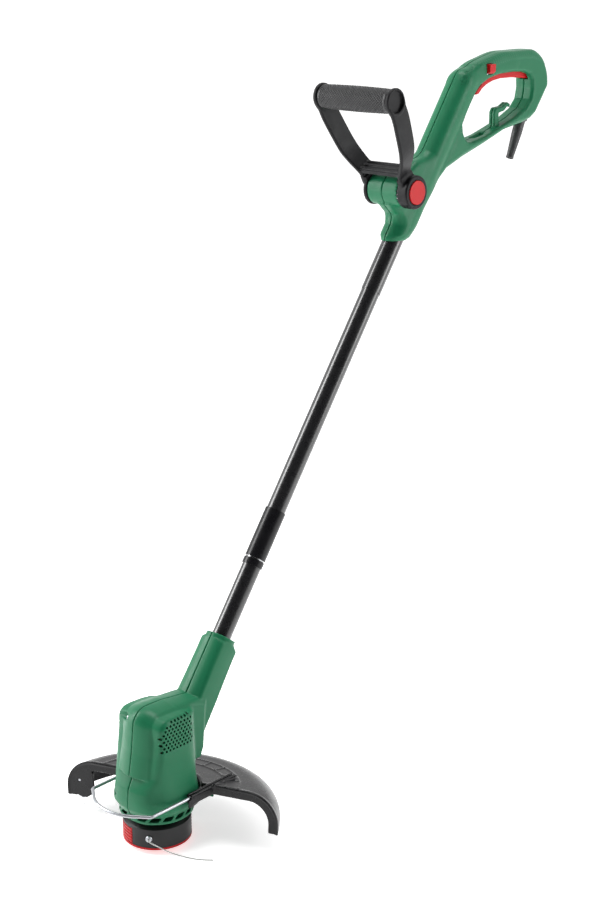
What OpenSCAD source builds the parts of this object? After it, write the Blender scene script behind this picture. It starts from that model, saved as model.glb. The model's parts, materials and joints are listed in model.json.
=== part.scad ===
// Corded electric string trimmer with a D-shaped main handle, a bail-shaped
// front handle, a straight three-piece tube and a motor head with a line spool.
// Origin: centre of the tap button's face under the spool, on the spindle axis.
// +Z is up, +X points to the user, -Y is the user's left.

/* [Shaft] */
// Angle of the tube above the ground
shaft_angle = 54.4; // [52:0.1:57]
// Outer diameter of the lower and middle tubes
tube_d = 24; // [23.6:0.1:24.4]
// Wall thickness of the tubes
tube_wall = 1.2; // [1:0.1:1.5]
// Outer diameter of the upper tube
upper_tube_d = 25.4; // [25.2:0.1:25.6]
// Outer diameter of the joint sleeve and its collar
sleeve_d = 26.4; // [26:0.1:28]

/* [Motor head] */
// Largest radius of the motor housing
pod_r = 50.5; // [50:0.1:51]
// Height of the motor housing's top above the ground
pod_top = 178; // [176:0.5:179]
// Wall thickness of the housing and handle shells
wall = 2.6; // [2.2:0.1:2.8]
// Radius of the motor shaft
spindle_r = 4; // [3.9:0.05:4]
// Outer radius of the stator
stator_r = 32; // [30:0.5:32]

/* [Spool head] */
// Outer radius of the spool housing
drum_r = 41.3; // [41:0.1:41.6]
// Height of the cover's underside above the ground
cover_z = 6; // [5.8:0.1:6]
// Diameter of the cutting line
line_d = 1.6; // [1.2:0.1:1.8]
// Angle of the line outlet around the spindle
outlet_angle = 213; // [211:1:215]
// Angle of the first cover tab around the spindle
tab_angle = 160; // [158:1:162]

/* [Guard] */
// Outer radius of the guard
guard_r = 142; // [140:0.5:144]
// Radius of the rolled edge of the guard
guard_roll = 38; // [36:0.5:40]
// Thickness of the guard
guard_wall = 2.4; // [2:0.1:3]
// Turn of the guard about the spindle
guard_turn = 21; // [20:0.5:22]
// Downward slope of the guard's roof towards the user
guard_slope = 8; // [7.5:0.5:8.5]
// Diameter of the guard wire
wire_d = 4; // [3.8:0.1:4]
// Half the distance between the arms of the guard wire
wire_half = 51; // [50.8:0.1:51.2]

/* [Handles] */
// Half the width of the main handle
handle_half = 17; // [16.5:0.1:17.5]
// Radius of the pivot drum of the front handle
hub_r = 20; // [19.5:0.1:20.5]
// Lean of the front handle forwards from upright
bail_lean = 29.8; // [28:0.1:32]
// Distance from the pivot to the axis of the front grip
bail_reach = 134; // [132:0.5:136]
// Radius of the front grip
grip_r = 17; // [16.5:0.1:17.5]

/* [Hidden] */

$fn = 64;
eps = 0.01;
running = 0.06;
seat = 0.05;

green = [0.10, 0.36, 0.24];
black = [0.10, 0.10, 0.11];
red = [0.85, 0.10, 0.09];
steel = [0.72, 0.73, 0.75];
copper = [0.72, 0.40, 0.22];
brass = [0.78, 0.62, 0.30];
nylon = [0.86, 0.87, 0.84];

// The shaft's axis starts at this point inside the motor housing.
shaft_x = 26.9;
shaft_z = 106;
tube_start = 97;
neck_end = 148;
neck_chamfer = 12;
neck_r = 20;
collar_from = 240;
collar_to = 248;
sleeve_from = 250;
sleeve_to = 314;
step_at = 617;
handle_end = 694;
tube_end = 770;
handle_neck_r = handle_half - 0.2;

// The motor's stations along the spindle, from the ground up.
ring_bottom = 40.6;
ring_top = 52;
bearing_r = 11;
bearing_h = 7;
lower_bearing_z = 44;
upper_bearing_z = 140;
fan_z = 52;
stator_z = 72;
stator_h = 40;
armature_r = 17.4;
commutator_r = 11;
commutator_z = 118;
commutator_h = 12;
shaft_bottom = 33.6;
shaft_top = 149;
side_flat = 47;

// The spool's stations along the spindle.
drum_top = 32;
shoulder_top = 36;
spool_r = 34;
stem_r = 6;
button_r = 15;
tab_half_angle = 20;
outlet_z = 20.4;

// The guard's own axis, its roof height on that axis and its straight front edge.
guard_x = 3;
guard_y = -7.5;
guard_z = 74.8;
guard_front = 19.5;
guard_floor = 22;
hem = 12;
wire_z = 68.4;
wire_front = -59;
wire_rear = 80;
wire_bow = 20;
cutter_y = 119;

// The front handle's pivot and the main handle's parts.
hub_x = 425;
hub_z = 732;
hub_half = 24;
bail_gap = 0.4;
ring_r = 21;
pin_x = 712;
pin_z = 866;
lock_x = 603;
lock_z = 871;
lock_size = 12;
plunger_x = 668;
plunger_z = 868.6;
cable_top = [699, 0, 799];
cable_tilt = 24;
cable_bore = 3.6;

function arc(cx, cz, r, a0, a1, n = 6) =
    [for (i = [0 : n]) let (a = a0 + (a1 - a0) * i / n) [cx + r * cos(a), cz + r * sin(a)]];

// Moves every corner of an outline inwards by d (counter-clockwise outline).
function unit(v) = v / norm(v);
function inset(pts, d) = let (n = len(pts)) [for (i = [0 : n - 1])
    let (a = unit(pts[i] - pts[(i + n - 1) % n]), b = unit(pts[(i + 1) % n] - pts[i]),
        na = [-a[1], a[0]], nb = [-b[1], b[0]], m = unit(na + nb))
    pts[i] + m * d / max(0.5, m * nb)];

// A smooth curve through hand-placed points, n steps between each pair.
function spline(p, n) = concat([for (i = [0 : len(p) - 2], k = [0 : n - 1])
    let (t = k / n, a = p[max(i - 1, 0)], b = p[i], c = p[i + 1], d = p[min(i + 2, len(p) - 1)])
    0.5 * (2 * b + (c - a) * t + (2 * a - 5 * b + 4 * c - d) * t * t
        + (3 * b - a - 3 * c + d) * t * t * t)], [p[len(p) - 1]]);

module swept_tube(path, r, side, sides = 8) {
    last = len(path) - 1;
    rings = [for (i = [0 : last])
        let (t = unit(path[min(i + 1, last)] - path[max(i - 1, 0)]),
            u = unit(cross(t, side)), v = cross(u, t))
        for (k = [0 : sides - 1])
            path[i] + r * (u * cos(360 * k / sides) + v * sin(360 * k / sides))];
    walls = [for (i = [0 : last - 1], k = [0 : sides - 1])
        let (a = i * sides + k, b = i * sides + (k + 1) % sides)
        [a, b, b + sides, a + sides]];
    ends = [[for (k = [sides - 1 : -1 : 0]) k], [for (k = [0 : sides - 1]) last * sides + k]];
    polyhedron(points = rings, faces = concat(walls, ends), convexity = 6);
}

module along_shaft(t = 0) {
    translate([shaft_x, 0, shaft_z]) rotate([0, 90 - shaft_angle, 0]) translate([0, 0, t]) children();
}

// A flat outline in the XZ plane, thickened from y0 to y1.
module plate_y(pts, y0, y1) {
    translate([0, y1, 0]) rotate([90, 0, 0]) linear_extrude(height = y1 - y0) polygon(pts);
}

module rod_y(x, z, r, y0, y1) {
    translate([x, y1, z]) rotate([90, 0, 0]) cylinder(r = r, h = y1 - y0);
}

module ring(r_out, r_in, z0, z1) {
    rotate_extrude() translate([r_in, z0]) square([r_out - r_in, z1 - z0]);
}

module half_space(side) {
    translate([-200, side > 0 ? 0 : -300, -50]) cube([1200, 300, 1200]);
}

// A coil spring drawn as its closed wire envelope, a thin tube.
module spring_tube(r, wire, z0, z1) {
    ring(r, r - wire, z0, z1);
}

// ---------------------------------------------------------------- motor housing

function side_outline(g) = inset(concat(
    [[43, 30], [46, 50], [50, 57], [49, 66], [46, 80], [58, 92], [58, 168], [46, pod_top - 5]],
    [[12, pod_top - 0.7], [-6, pod_top]],
    arc(-15, 157, 20, 98, 172, 5),
    [[-38, 126], [-42, 108], [-44.5, 90], [-47, 62], [-47, 56], [-45.5, 50], [-43, 30]]), g);

function front_outline(g) = inset(concat(
    [[47, 30], [47, 58], [43.5, 82], [40.5, 110], [39, 140]],
    arc(19, 150, 20, -5, 50, 3), [[23, 174.5], [17, pod_top]],
    [[-17, pod_top], [-23, 174.5]], arc(-19, 150, 20, 130, 185, 3),
    [[-39, 140], [-40.5, 110], [-43.5, 82], [-47, 58], [-47, 30]]), g);

module pod(g) {
    intersection() {
        rotate_extrude() polygon([[0, ring_bottom + g], [44.5 - g, ring_bottom + g], [45.5 - g, ring_top],
            [pod_r - g, 58], [pod_r - g, 63], [47.5 - g, 84], [46 - g, 110], [46 - g, 132],
            [44 - g, 160], [40 - g, pod_top + 5], [0, pod_top + 5]]);
        plate_y(side_outline(g), -60, 60);
        rotate([0, 0, 90]) plate_y(front_outline(g), -60, 60);
    }
}

module web(g) {
    plate_y(inset([[20, 90], [44.5, 88], [50, 106], [114, 197], [88, 215.5], [55, 171], [20, 171]], g),
        -20.6 + g, 20.6 - g);
}

module neck() {
    along_shaft(70) cylinder(r = neck_r, h = neck_end - 70 - neck_chamfer);
    along_shaft(neck_end - neck_chamfer - eps) cylinder(r1 = neck_r, r2 = 14.5, h = neck_chamfer);
}

housing_bosses = [[-38, 66, 5.2], [-26, 162.5, 4.6], [36, 66, 5.2], [64, 146, 5.2]];

module housing_boss_solids() {
    for (b = housing_bosses) rod_y(b[0], b[1], b[2], -40, 40);
}

grille_cols = 10;
grille_rows = 9;
grille_front = -29;
grille_top = 166.5;
grille_depth = 28.3;
grille_pitch_x = 5.5;
grille_pitch_z = 4.1;
grille_hole_r = 1.5;

// The front end of each row of holes moves forward over the first four rows.
function grille_start(row) = -17.5 - 3.1 * min(row, 4);
function near_boss(x, z) = len([for (b = housing_bosses) if (norm([x - b[0], z - b[1]]) < b[2] + 2.4) 1]) > 0;

// Staggered cooling holes in both side panels.
module grille_holes() {
    for (row = [0 : grille_rows - 1], col = [0 : grille_cols - 1]) {
        x = grille_front + (col + (row % 2) / 2) * grille_pitch_x;
        z = grille_top - row * grille_pitch_z;
        if (x >= grille_start(row) && !near_boss(x, z))
            for (side = [-1, 1])
                rod_y(x, z, grille_hole_r, side > 0 ? grille_depth : -60, side > 0 ? 60 : -grille_depth);
    }
}

vent_count = 18;

module ring_vents() {
    for (i = [0 : vent_count - 1])
        rotate([0, 0, i * 360 / vent_count + 5])
            translate([38, -5.8, 45]) cube([10, 11.6, 6.5]);
}

module guard_frame() {
    translate([guard_x, guard_y, 0]) rotate([0, 0, guard_turn]) children();
}

guard_bolt_angles = [-32, 24, 80];
guard_bolt_r = 60;

module guard_bolt_holes(r) {
    for (a = guard_bolt_angles)
        rotate([0, 0, a]) translate([guard_bolt_r, 0, 40]) cylinder(r = r, h = 30);
}

module housing_ledge() {
    difference() {
        translate([0, 0, 54]) cylinder(r = 68, h = 3);
        translate([0, 0, 53]) cylinder(r = pod_r - wall - 1, h = 5);
        guard_frame() translate([-120, -120, 50]) cube([120 + guard_front + 3.5, 240, 10]);
        guard_bolt_holes(2.2);
    }
}

module housing_shell() {
    difference() {
        union() {
            difference() {
                union() {
                    pod(0);
                    web(0);
                    neck();
                }
                pod(wall);
                web(wall);
            }
            intersection() {
                union() {
                    ring(60, stator_r, stator_z + 3, stator_z + 6);
                    ring(60, stator_r, stator_z + stator_h - 6, stator_z + stator_h - 3);
                    bearing_plate();
                    brush_blocks();
                    housing_boss_solids();
                }
                union() {
                    pod(1);
                    web(1);
                }
            }
            ring(bearing_r + 2.6, bearing_r - 3, lower_bearing_z - 2, lower_bearing_z + bearing_h);
            along_shaft(80) cylinder(r = neck_r - 1, h = 52);
            housing_ledge();
        }
        along_shaft(tube_start) cylinder(r = tube_d / 2 + seat, h = 100);
        along_shaft(60) cylinder(r = 8, h = 60);
        translate([0, 0, 30]) cylinder(r = bearing_r - 3, h = 20);
        translate([0, 0, lower_bearing_z]) cylinder(r = bearing_r, h = bearing_h + 2);
        translate([0, 0, stator_z - 2]) cylinder(r = stator_r + seat, h = stator_h + 4);
        grille_holes();
        ring_vents();
        for (b = housing_bosses) {
            rod_y(b[0], b[1], 2, -22, 30);
            rod_y(b[0], b[1], 4, 12, 60);
        }
        brush_pockets();
    }
}

// The plate that carries the upper bearing, clear of the side grilles.
module bearing_plate() {
    intersection() {
        ring(44, bearing_r, upper_bearing_z, upper_bearing_z + bearing_h);
        translate([-60, -28, 0]) cube([120, 56, 200]);
    }
}

module brush_blocks() {
    for (side = [-1, 1])
        translate([-9, side > 0 ? 24 : -54, commutator_z - 1]) cube([18, 30, 14]);
}

module brush_pockets() {
    for (side = [-1, 1])
        translate([-5.2, side > 0 ? 13 : -37, commutator_z + 1]) cube([10.4, 24, 10]);
}

module motor_housing_left() {
    color(green) intersection() {
        housing_shell();
        half_space(-1);
    }
}

module motor_housing_right() {
    color(green) intersection() {
        housing_shell();
        half_space(1);
    }
}

module housing_screws() {
    color(steel) for (b = housing_bosses) {
        rod_y(b[0], b[1], 1.95, -18, 12);
        difference() {
            rod_y(b[0], b[1], 3.6, 12, 15.2);
            translate([b[0] - 2.4, 13.8, b[1] - 0.4]) cube([4.8, 5, 0.8]);
        }
    }
}

// ---------------------------------------------------------------- motor

module stator_core() {
    color(steel) difference() {
        translate([0, 0, stator_z]) cylinder(r = stator_r, h = stator_h);
        translate([0, 0, stator_z - 1]) cylinder(r = armature_r + 0.6, h = stator_h + 2);
        for (side = [-1, 1])
            translate([side > 0 ? 19 : -27, -12, stator_z - 1]) cube([8, 24, stator_h + 2]);
    }
}

module field_windings() {
    color(copper) for (side = [-1, 1]) {
        translate([side > 0 ? 19.4 : -26.6, -11.6, stator_z - 5]) cube([7.2, 23.2, stator_h + 10]);
    }
}

module armature_core() {
    slots = 12;
    color(steel) difference() {
        translate([0, 0, stator_z + 2]) cylinder(r = armature_r, h = stator_h - 4);
        translate([0, 0, stator_z]) cylinder(r = spindle_r, h = stator_h);
        for (i = [0 : slots - 1])
            rotate([0, 0, i * 360 / slots]) translate([9, -1.2, stator_z]) cube([10, 2.4, stator_h]);
    }
}

module armature_windings() {
    color(copper) for (end = [0, 1])
        translate([0, 0, end == 0 ? stator_z - 5 : stator_z + stator_h - 2])
            ring(15.5, spindle_r + 1, 0, 7);
}

module commutator() {
    bars = 24;
    color(copper) difference() {
        translate([0, 0, commutator_z]) cylinder(r = commutator_r, h = commutator_h);
        translate([0, 0, commutator_z - 1]) cylinder(r = spindle_r, h = commutator_h + 2);
        for (i = [0 : bars - 1])
            rotate([0, 0, i * 360 / bars]) translate([commutator_r - 0.6, -0.3, commutator_z - 1])
                cube([2, 0.6, commutator_h + 2]);
    }
}

module motor_shaft() {
    color(steel) translate([0, 0, shaft_bottom]) cylinder(r = spindle_r, h = shaft_top - shaft_bottom);
}

module bearing(z) {
    color(steel) difference() {
        translate([0, 0, z]) ring(bearing_r, spindle_r + running, 0, bearing_h);
        translate([0, 0, z + bearing_h - 0.6]) ring(9.4, 6.2, 0, 1);
        translate([0, 0, z - 0.4]) ring(9.4, 6.2, 0, 1);
    }
}

module upper_bearing() {
    bearing(upper_bearing_z);
}

module lower_bearing() {
    bearing(lower_bearing_z);
}

module carbon_brushes() {
    color([0.16, 0.16, 0.17]) for (side = [-1, 1])
        translate([-3, side > 0 ? commutator_r + 0.4 : -commutator_r - 14.4, commutator_z + 3])
            cube([6, 14, 6]);
}

module brush_holders() {
    color(brass) for (side = [-1, 1])
        difference() {
            translate([-5, side > 0 ? 13.2 : -36.8, commutator_z + 1.2]) cube([10, 23.6, 9.6]);
            translate([-3, side > 0 ? 12 : -28, commutator_z + 3]) cube([6, 16, 6]);
        }
}

module cooling_fan() {
    blades = 11;
    color(black) {
        difference() {
            union() {
                translate([0, 0, fan_z + 6]) cylinder(r = 37, h = 1.6);
                translate([0, 0, fan_z]) cylinder(r = 9, h = 7);
                for (i = [0 : blades - 1])
                    rotate([0, 0, i * 360 / blades]) translate([8, -0.8, fan_z]) cube([29, 1.6, 7]);
            }
            translate([0, 0, fan_z - 1]) cylinder(r = spindle_r, h = 12);
        }
    }
}

// ---------------------------------------------------------------- spool head

module tab_sector(r_out, r_in, z0, z1, half) {
    intersection() {
        ring(r_out, r_in, z0, z1);
        linear_extrude(height = 200)
            polygon([[0, 0], [90 * cos(half), 90 * sin(half)], [90 * cos(half), -90 * sin(half)]]);
    }
}

module spool_housing() {
    color(black) difference() {
        rotate_extrude() polygon([[spindle_r, shaft_bottom], [spindle_r, 40], [9, 40], [10, shoulder_top],
            [35, shoulder_top], [drum_r - 0.3, drum_top], [drum_r - 0.3, cover_z + 2.6],
            [drum_r - 2.6, cover_z + 2.6], [drum_r - 2.6, drum_top - 1], [34, shaft_bottom]]);
        for (side = [0, 180])
            rotate([0, 0, tab_angle + side]) tab_sector(60, 30, cover_z, 29.6, tab_half_angle + 1.5);
        rotate([0, 0, outlet_angle]) translate([30, 0, outlet_z]) rotate([0, 90, 0])
            cylinder(r = 2.6, h = 20);
    }
}

module line_eyelet() {
    color(steel) rotate([0, 0, outlet_angle]) translate([38, 0, outlet_z]) rotate([0, 90, 0])
        difference() {
            union() {
                cylinder(r = 2.6, h = 4);
                translate([0, 0, 3.3]) cylinder(r1 = 4.2, r2 = 3.4, h = 1.5);
            }
            translate([0, 0, -1]) cylinder(r = line_d / 2 + 0.3, h = 8);
        }
}

module spool_cover() {
    color(red) difference() {
        union() {
            ring(drum_r, button_r + 0.4, cover_z, cover_z + 2.6);
            for (i = [0 : 5])
                rotate([0, 0, i * 60 + 20]) translate([20, -1, cover_z + 2]) cube([12, 2, 1]);
        }
        translate([0, 0, cover_z - 1]) ring(30, 28, 0, 1.5);
    }
}

module cover_tab(angle) {
    ribs = 5;
    color(red) rotate([0, 0, angle]) {
        tab_sector(drum_r - 1, 38.6, cover_z + 3, 28.6, tab_half_angle);
        for (i = [0 : ribs - 1])
            tab_sector(drum_r, 38.6, cover_z + 4 + i * 4, cover_z + 6 + i * 4, tab_half_angle);
    }
}

module cover_tab_front() {
    cover_tab(tab_angle);
}

module cover_tab_rear() {
    cover_tab(tab_angle + 180);
}

module tap_button() {
    color(black) {
        translate([0, 0, 3]) cylinder(r = button_r, h = 6);
        cylinder(r1 = button_r - 3, r2 = button_r, h = 3);
        translate([0, 0, cover_z + 3]) cylinder(r = button_r + 2, h = 2);
        translate([0, 0, cover_z + 5]) cylinder(r = stem_r, h = 15.5);
    }
}

module spool_spring() {
    color(steel) spring_tube(12, 1.4, 26.8, 33.3);
}

module line_spool() {
    color(black) difference() {
        union() {
            ring(spool_r, stem_r + running, cover_z + 5.3, cover_z + 7);
            ring(15, stem_r + running, cover_z + 6, 26);
            ring(spool_r, stem_r + running, 24.8, 26.5);
        }
        for (i = [0 : 3])
            rotate([0, 0, i * 90]) translate([25, 0, 24]) cylinder(r = 3.5, h = 4);
    }
}

module wound_line() {
    color(nylon) ring(31, 15, cover_z + 7, 24.8);
}

// The free line, from inside the eyelet to its cut end.
line_route = [[-32.7, -21.2, 20.4], [-36.5, -23.7, 20.4], [-38.2, -26.5, 20.3], [-38.8, -31, 20.2],
    [-38.6, -38, 20], [-38.3, -46, 19.8], [-37.8, -55, 19.5], [-36.5, -64, 19.3], [-34.2, -73, 19],
    [-31.2, -82, 18.8], [-27.2, -91, 18.5], [-21.5, -100, 18.3], [-13.5, -109, 18]];

module trimmer_line() {
    color(nylon) swept_tube(spline(line_route, 2), line_d / 2, [0, 0, 1]);
}

// ---------------------------------------------------------------- guard

module guard_bowl(g) {
    translate([0, 0, guard_z]) rotate([0, guard_slope, 0]) rotate_extrude()
        polygon(concat([[0, -70], [guard_r - g, -70]],
            arc(guard_r - guard_roll, -guard_roll, guard_roll - g, 0, 90, 8), [[0, -g]]));
}

module guard_half(front) {
    translate([front, -200, guard_floor]) cube([300, 400, 100]);
}

module wire_rail(side, x0) {
    translate([x0, side * wire_half - 4.2, wire_z - 8]) cube([wire_rear - 1 - x0, 8.4, 12.4]);
}

module guard() {
    color(black) difference() {
        union() {
            difference() {
                guard_frame() union() {
                    intersection() {
                        difference() {
                            guard_bowl(0);
                            guard_bowl(guard_wall);
                        }
                        guard_half(guard_front);
                    }
                    intersection() {
                        difference() {
                            guard_bowl(0);
                            guard_bowl(hem);
                        }
                        guard_half(guard_front);
                        translate([guard_front, -200, 0]) cube([3, 400, 200]);
                    }
                }
                translate([0, 0, 30]) cylinder(r = 54, h = 60);
            }
            intersection() {
                ring(55, 51.6, 57, 69);
                translate([2, -80, 0]) cube([100, 160, 100]);
            }
            intersection() {
                ring(66, 51.6, 57, 60);
                guard_frame() translate([guard_front + 4, -100, 0]) cube([100, 200, 100]);
            }
            wire_rail(-1, 5);
            wire_rail(1, 5);
            cutter_lug();
        }
        for (side = [-1, 1])
            translate([-20, side * wire_half, wire_z]) rotate([0, 90, 0])
                cylinder(r = wire_d / 2 + running, h = 140);
        guard_bolt_holes(2.1);
        guard_frame() translate([guard_front - 5, cutter_y + 4, 44]) rotate([0, 90, 0])
            cylinder(r = 1.6, h = 20);
    }
}

module cutter_lug() {
    guard_frame() intersection() {
        translate([guard_front, cutter_y - 8, 40]) union() {
            cube([3, 24, 40]);
            translate([0, 12, -6]) rotate([0, 90, 0]) cylinder(r = 12, h = 3);
        }
        guard_bowl(1);
    }
}

module guard_screws() {
    color(steel) for (a = guard_bolt_angles)
        rotate([0, 0, a]) translate([guard_bolt_r, 0, 0]) {
            translate([0, 0, 51.4]) cylinder(r = 4, h = 2.6);
            translate([0, 0, 53]) cylinder(r = 2, h = 10);
        }
}

module cutter_blade() {
    color(steel) guard_frame() difference() {
        translate([guard_front + 3, 0, 0]) rotate([90, 0, 90]) linear_extrude(height = 1.2)
            polygon([[cutter_y, 9], [cutter_y + 2, 8], [cutter_y + 9, 14], [cutter_y + 9, 50],
                [cutter_y, 50]]);
        translate([guard_front - 5, cutter_y + 4, 44]) rotate([0, 90, 0]) cylinder(r = 1.6, h = 20);
    }
}

module blade_screw() {
    color(steel) guard_frame() translate([guard_front + 4.2, cutter_y + 4, 44]) rotate([0, 90, 0]) {
        cylinder(r = 3, h = 1.8);
        translate([0, 0, -4]) cylinder(r = 1.6, h = 4 + eps);
    }
}

wire_bend = 7;
wire_arc_r = (pow(wire_half - wire_bend, 2) + wire_bow * wire_bow) / (2 * wire_bow);

// Two straight arms, two tight bends and a shallow bow across the front.
function wire_route() = let (a = asin((wire_half - wire_bend) / wire_arc_r), c = wire_front - wire_bow + wire_arc_r)
    concat([for (i = [0 : 4]) [wire_front + wire_bend + 3 * (4 - i), -wire_half, wire_z]],
        [for (i = [1 : 4]) let (b = 90 - i * (90 - a) / 4)
            [wire_front + wire_bend * (1 - cos(90 - b)) * 0 + wire_bend * (1 - sin(90 - b)),
                -wire_half + wire_bend * (1 - cos(90 - b)), wire_z]],
        [for (i = [1 : 15]) let (b = 180 + a - i * 2 * a / 16)
            [c + wire_arc_r * cos(b), wire_arc_r * sin(b), wire_z]],
        [for (i = [4 : -1 : 1]) let (b = 90 - i * (90 - a) / 4)
            [wire_front + wire_bend * (1 - sin(90 - b)), wire_half - wire_bend * (1 - cos(90 - b)), wire_z]],
        [for (i = [4 : -1 : 0]) [wire_front + wire_bend + 3 * (4 - i), wire_half, wire_z]]);

module guard_wire() {
    color(steel) {
        swept_tube(wire_route(), wire_d / 2, [0, 0, 1], 12);
        for (side = [-1, 1])
            translate([wire_front + wire_bend + 12, side * wire_half, wire_z]) rotate([0, 90, 0])
                cylinder(r = wire_d / 2, h = wire_rear - wire_front - wire_bend - 12);
    }
}

// ---------------------------------------------------------------- shaft

module tube(d, t0, t1, bore_r) {
    along_shaft(t0) difference() {
        cylinder(r = d / 2, h = t1 - t0);
        translate([0, 0, -1]) cylinder(r = bore_r, h = t1 - t0 + 2);
    }
}

module lower_tube() {
    color(black) tube(tube_d, tube_start, sleeve_from - 1, tube_d / 2 - tube_wall);
}

module joint_collar() {
    color(black) tube(sleeve_d, collar_from, collar_to, tube_d / 2 + seat);
}

module joint_sleeve() {
    color(black) tube(sleeve_d, sleeve_from, sleeve_to, tube_d / 2 + seat);
}

module joint_spigot() {
    color(steel) tube(tube_d - 2 * tube_wall - 2 * seat, 205, 300, 8.6);
}

module middle_tube() {
    color(black) tube(tube_d, sleeve_from, step_at + 60, tube_d / 2 - tube_wall);
}

module upper_tube() {
    color(black) tube(upper_tube_d, step_at, tube_end, tube_d / 2 + seat);
}

// ---------------------------------------------------------------- main handle

handle_outline = concat([[446, 668.5], [460, 681], [476, 703], [493, 721], [507, 737.5], [521, 749],
    [553, 760.5], [601, 774.5], [646, 789], [690, 795.5], [704, 799], [716, 806], [727, 820]],
    arc(695, 844, 48, -4, 92, 8), arc(655, 742, 150, 87, 104, 3), [[590, 880.5], [577, 876], [564, 869],
    [546, 856], [481, 766], [458, 764], [440, 755], [432, 745], [410, 715], [423, 699], [417, 680]]);

handle_opening = [[572, 779.5], [564, 780.5], [557, 785.5], [552.5, 793], [551.5, 803], [557, 815],
    [566, 827.5], [577, 840], [588, 849], [606, 856.5], [631, 861], [660, 862.5], [684, 861.5], [697, 858],
    [703, 851.5], [704, 840], [701, 826], [689, 814], [667, 804.5], [650, 798.5], [632, 793], [604, 785]];

function reversed(p) = [for (i = [len(p) - 1 : -1 : 0]) p[i]];

// Each step is [from y, to y, inset]: the edges are rounded in steps.
edge_steps = [[0, 9, 0], [9, 13.5, 2.5], [13.5, 17, 7]];

module handle_solid(g) {
    for (s = edge_steps) difference() {
        union() for (side = [-1, 1]) {
            top = min(s[1], handle_half) - g;
            y0 = max(s[0] - g, 0);
            plate_y(inset(handle_outline, s[2] + g), side > 0 ? y0 : -top, side > 0 ? top : -y0);
        }
        plate_y(inset(reversed(handle_opening), -s[2] - g), -40, 40);
    }
}

module hub_solid() {
    rod_y(hub_x, hub_z, hub_r, -hub_half, hub_half);
}

cable_slot = [[590, 778], [614, 785], [610, 812], [582, 800]];
cable_slot_cut = [[588, 740], [614, 748], [614, 806], [588, 798]];

module cable_hook() {
    plate_y([[632, 789.5], [642, 792], [642, 811], [654, 813], [662, 819], [666, 817], [667, 821], [661, 824],
        [650, 819], [636, 818], [632, 813]], -5, 5);
}

handle_bosses = [[515, 765, 5], [557, 772.5, 4.6], [545, 816, 5], [575, 850, 4.6], [724, 838, 5],
    [702, 880, 4.6]];
clamp_x = 705;
clamp_z = 813;

module handle_shell() {
    difference() {
        union() {
            difference() {
                handle_solid(0);
                handle_solid(wall);
            }
            intersection() {
                for (b = handle_bosses) rod_y(b[0], b[1], b[2], -15, 15);
                handle_solid(1);
            }
            intersection() {
                plate_y([[584, 740], [618, 748], [618, 812], [584, 804]], -8, 8);
                handle_solid(1);
            }
            hub_solid();
            along_shaft(handle_end - 6) cylinder(r = handle_neck_r, h = tube_end - handle_end + 14);
            rod_y(pin_x, pin_z, 5, -15, 15);
            rod_y(clamp_x, clamp_z, 3.5, -15, 15);
            cable_hook();
        }
        along_shaft(handle_end - 60) cylinder(r = upper_tube_d / 2 + seat, h = tube_end - handle_end + 60);
        along_shaft(tube_end - 5) cylinder(r = 9, h = 80);
        plate_y(cable_slot_cut, -4.2, 4.2);
        trigger_slot();
        rod_y(hub_x, hub_z, 5 + running, -40, 40);
        rod_y(hub_x, hub_z, 19, -hub_half - 1, -hub_half + 2);
        translate([lock_x - 6.4, -40, lock_z - 6.4]) cube([12.8, 45, 12.8]);
        for (b = handle_bosses) {
            rod_y(b[0], b[1], 2, -11, 12);
            rod_y(b[0], b[1], 3.9, 8, 40);
        }
        rod_y(pin_x, pin_z, 2 + seat, -12.5, 12.5);
        cable_seat(seat);
        switch_pocket();
    }
}

module trigger_slot() {
    plate_y([[584, 828], [600, 838], [724, 850], [724, 874], [640, 874], [604, 864], [588, 852]], -6.6, 6.6);
}

module switch_pocket() {
    translate([652, -7.1, 871.9]) cube([32.2, 14.2, 14.2]);
}

module handle_left() {
    color(green) intersection() {
        handle_shell();
        half_space(-1);
    }
}

module handle_right() {
    color(green) intersection() {
        handle_shell();
        half_space(1);
    }
}

module handle_screws() {
    color(steel) for (b = handle_bosses) {
        rod_y(b[0], b[1], 1.95, -10, 8);
        difference() {
            rod_y(b[0], b[1], 3.5, 8, 11);
            translate([b[0] - 2.2, 9.6, b[1] - 0.4]) cube([4.4, 5, 0.8]);
        }
    }
}

module trigger() {
    low = [[588, 833], [592, 838], [600, 845.5], [611, 850.8], [625, 854.3], [643, 856], [668, 855.8],
        [690, 853.8], [706, 852.5], [717, 855]];
    high = [[718, 866], [708, 869.5], [690, 866.5], [672, 868.2], [664, 868.2], [640, 865], [616, 859],
        [602, 853], [590, 842]];
    color(red) difference() {
        plate_y(concat(low, high), -5.8, 5.8);
        rod_y(pin_x, pin_z, 2 + running, -20, 20);
    }
}

module trigger_pin() {
    color(steel) rod_y(pin_x, pin_z, 2, -12.4, 12.4);
}

module trigger_spring() {
    color(steel) translate([632, 0, 0]) spring_tube(3.2, 0.8, 864.4, 886.9);
}

module switch_body() {
    color(black) difference() {
        translate([652.1, -7, 872]) cube([32, 14, 14]);
        translate([plunger_x, 0, 860]) cylinder(r = 2 + running, h = 20);
    }
}

module switch_plunger() {
    color(red) translate([plunger_x, 0, plunger_z]) cylinder(r = 2, h = 8);
}

module lock_button() {
    color(red) {
        translate([lock_x, 0, lock_z]) {
            difference() {
                translate([-lock_size / 2, -21, -lock_size / 2]) cube([lock_size, 16, lock_size]);
                translate([-lock_size / 2, -21, -lock_size / 2]) rotate([45, 0, 0])
                    translate([-1, -2, -2]) cube([lock_size + 2, 4, 4]);
            }
        }
    }
}

module lock_spring() {
    color(steel) translate([lock_x, 10.6, lock_z]) rotate([90, 0, 0]) spring_tube(3.5, 0.8, 0, 11.2);
}

module cable_frame() {
    translate(cable_top) rotate([0, 180 + cable_tilt, 0]) children();
}

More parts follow.
